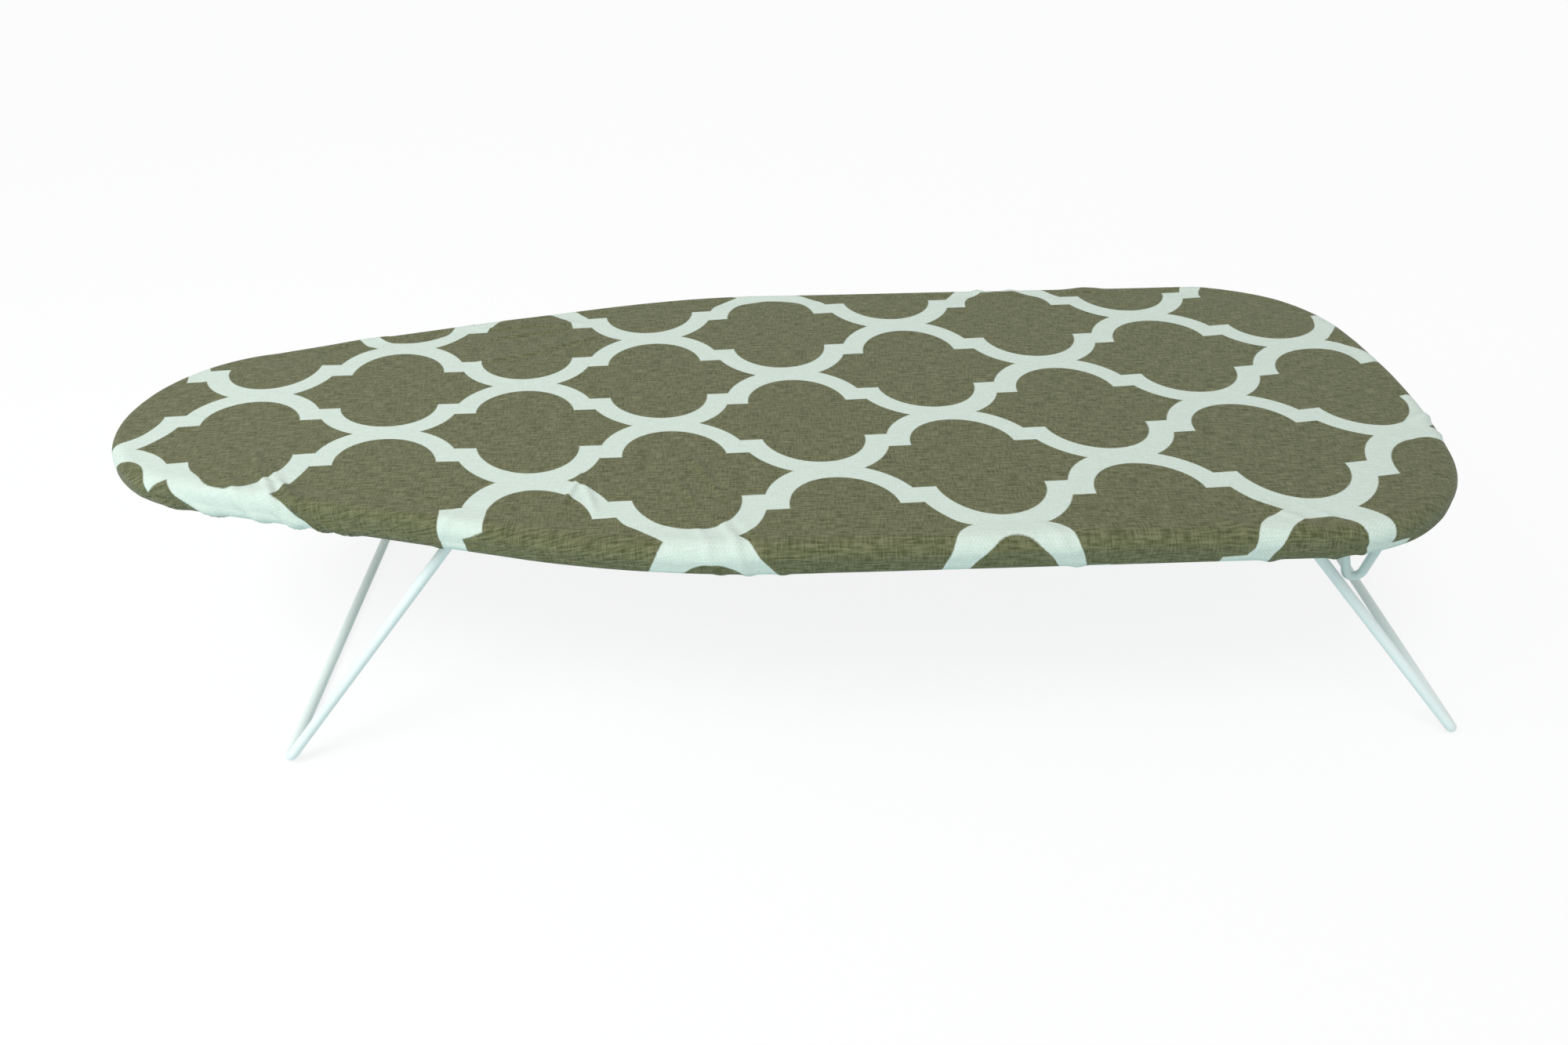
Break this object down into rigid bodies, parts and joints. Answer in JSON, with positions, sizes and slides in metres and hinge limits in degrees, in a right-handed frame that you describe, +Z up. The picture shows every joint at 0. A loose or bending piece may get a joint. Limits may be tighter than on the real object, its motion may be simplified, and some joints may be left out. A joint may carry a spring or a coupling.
{
  "type": "tabletop ironing board",
  "caption": "Padded tabletop ironing board with a fitted cotton cover over a steel mesh top, on two folding wire legs that lean on wire stops.",
  "frame": {"origin": "bottom centre of the bounding box, on the surface that the legs stand on", "axes": "+X along the board from the nose to the wide end, +Y across the board, +Z up"},
  "size_m": [0.7808, 0.305, 0.165],
  "materials": {
    "mesh_coat": "semi-gloss powder coat",
    "frame_coat": "semi-gloss powder coat",
    "leg_coat": "semi-gloss powder coat",
    "rivet_steel": "bright zinc plated",
    "pad_foam": "open-cell foam",
    "cover_cotton": "printed plain-weave cotton, matt",
    "hem_tape": "cotton binding tape, matt",
    "elastic_cord": "braided elastic"
  },
  "bodies": {
    "board": {"top_mesh": "mesh_coat", "rim_frame": "frame_coat", "nose_cross_bar": "frame_coat", "middle_cross_bar": "frame_coat", "wide_cross_bar": "frame_coat", "tail_cross_bar": "frame_coat", "nose_near_bracket": "frame_coat", "nose_far_bracket": "frame_coat", "wide_near_bracket": "frame_coat", "wide_far_bracket": "frame_coat", "bracket_rivets": "rivet_steel", "nose_near_stop": "frame_coat", "nose_far_stop": "frame_coat", "wide_near_stop": "frame_coat", "wide_far_stop": "frame_coat", "foam_pad": "pad_foam", "cotton_cover": "cover_cotton", "hem_binding": "hem_tape", "hem_elastic": "elastic_cord"},
    "nose_leg": {"nose_leg": "leg_coat"},
    "wide_leg": {"wide_leg": "leg_coat"}
  },
  "joints": [
    {"name": "nose_leg_fold", "type": "hinge", "parent": "board", "child": "nose_leg", "pos_m": [-0.17343, 0, 0.141], "axis": [0, -1, 0], "range_deg": [0, 134]},
    {"name": "wide_leg_fold", "type": "hinge", "parent": "board", "child": "wide_leg", "pos_m": [0.26957, 0, 0.141], "axis": [0, 1, 0], "range_deg": [0, 134]}
  ]
}
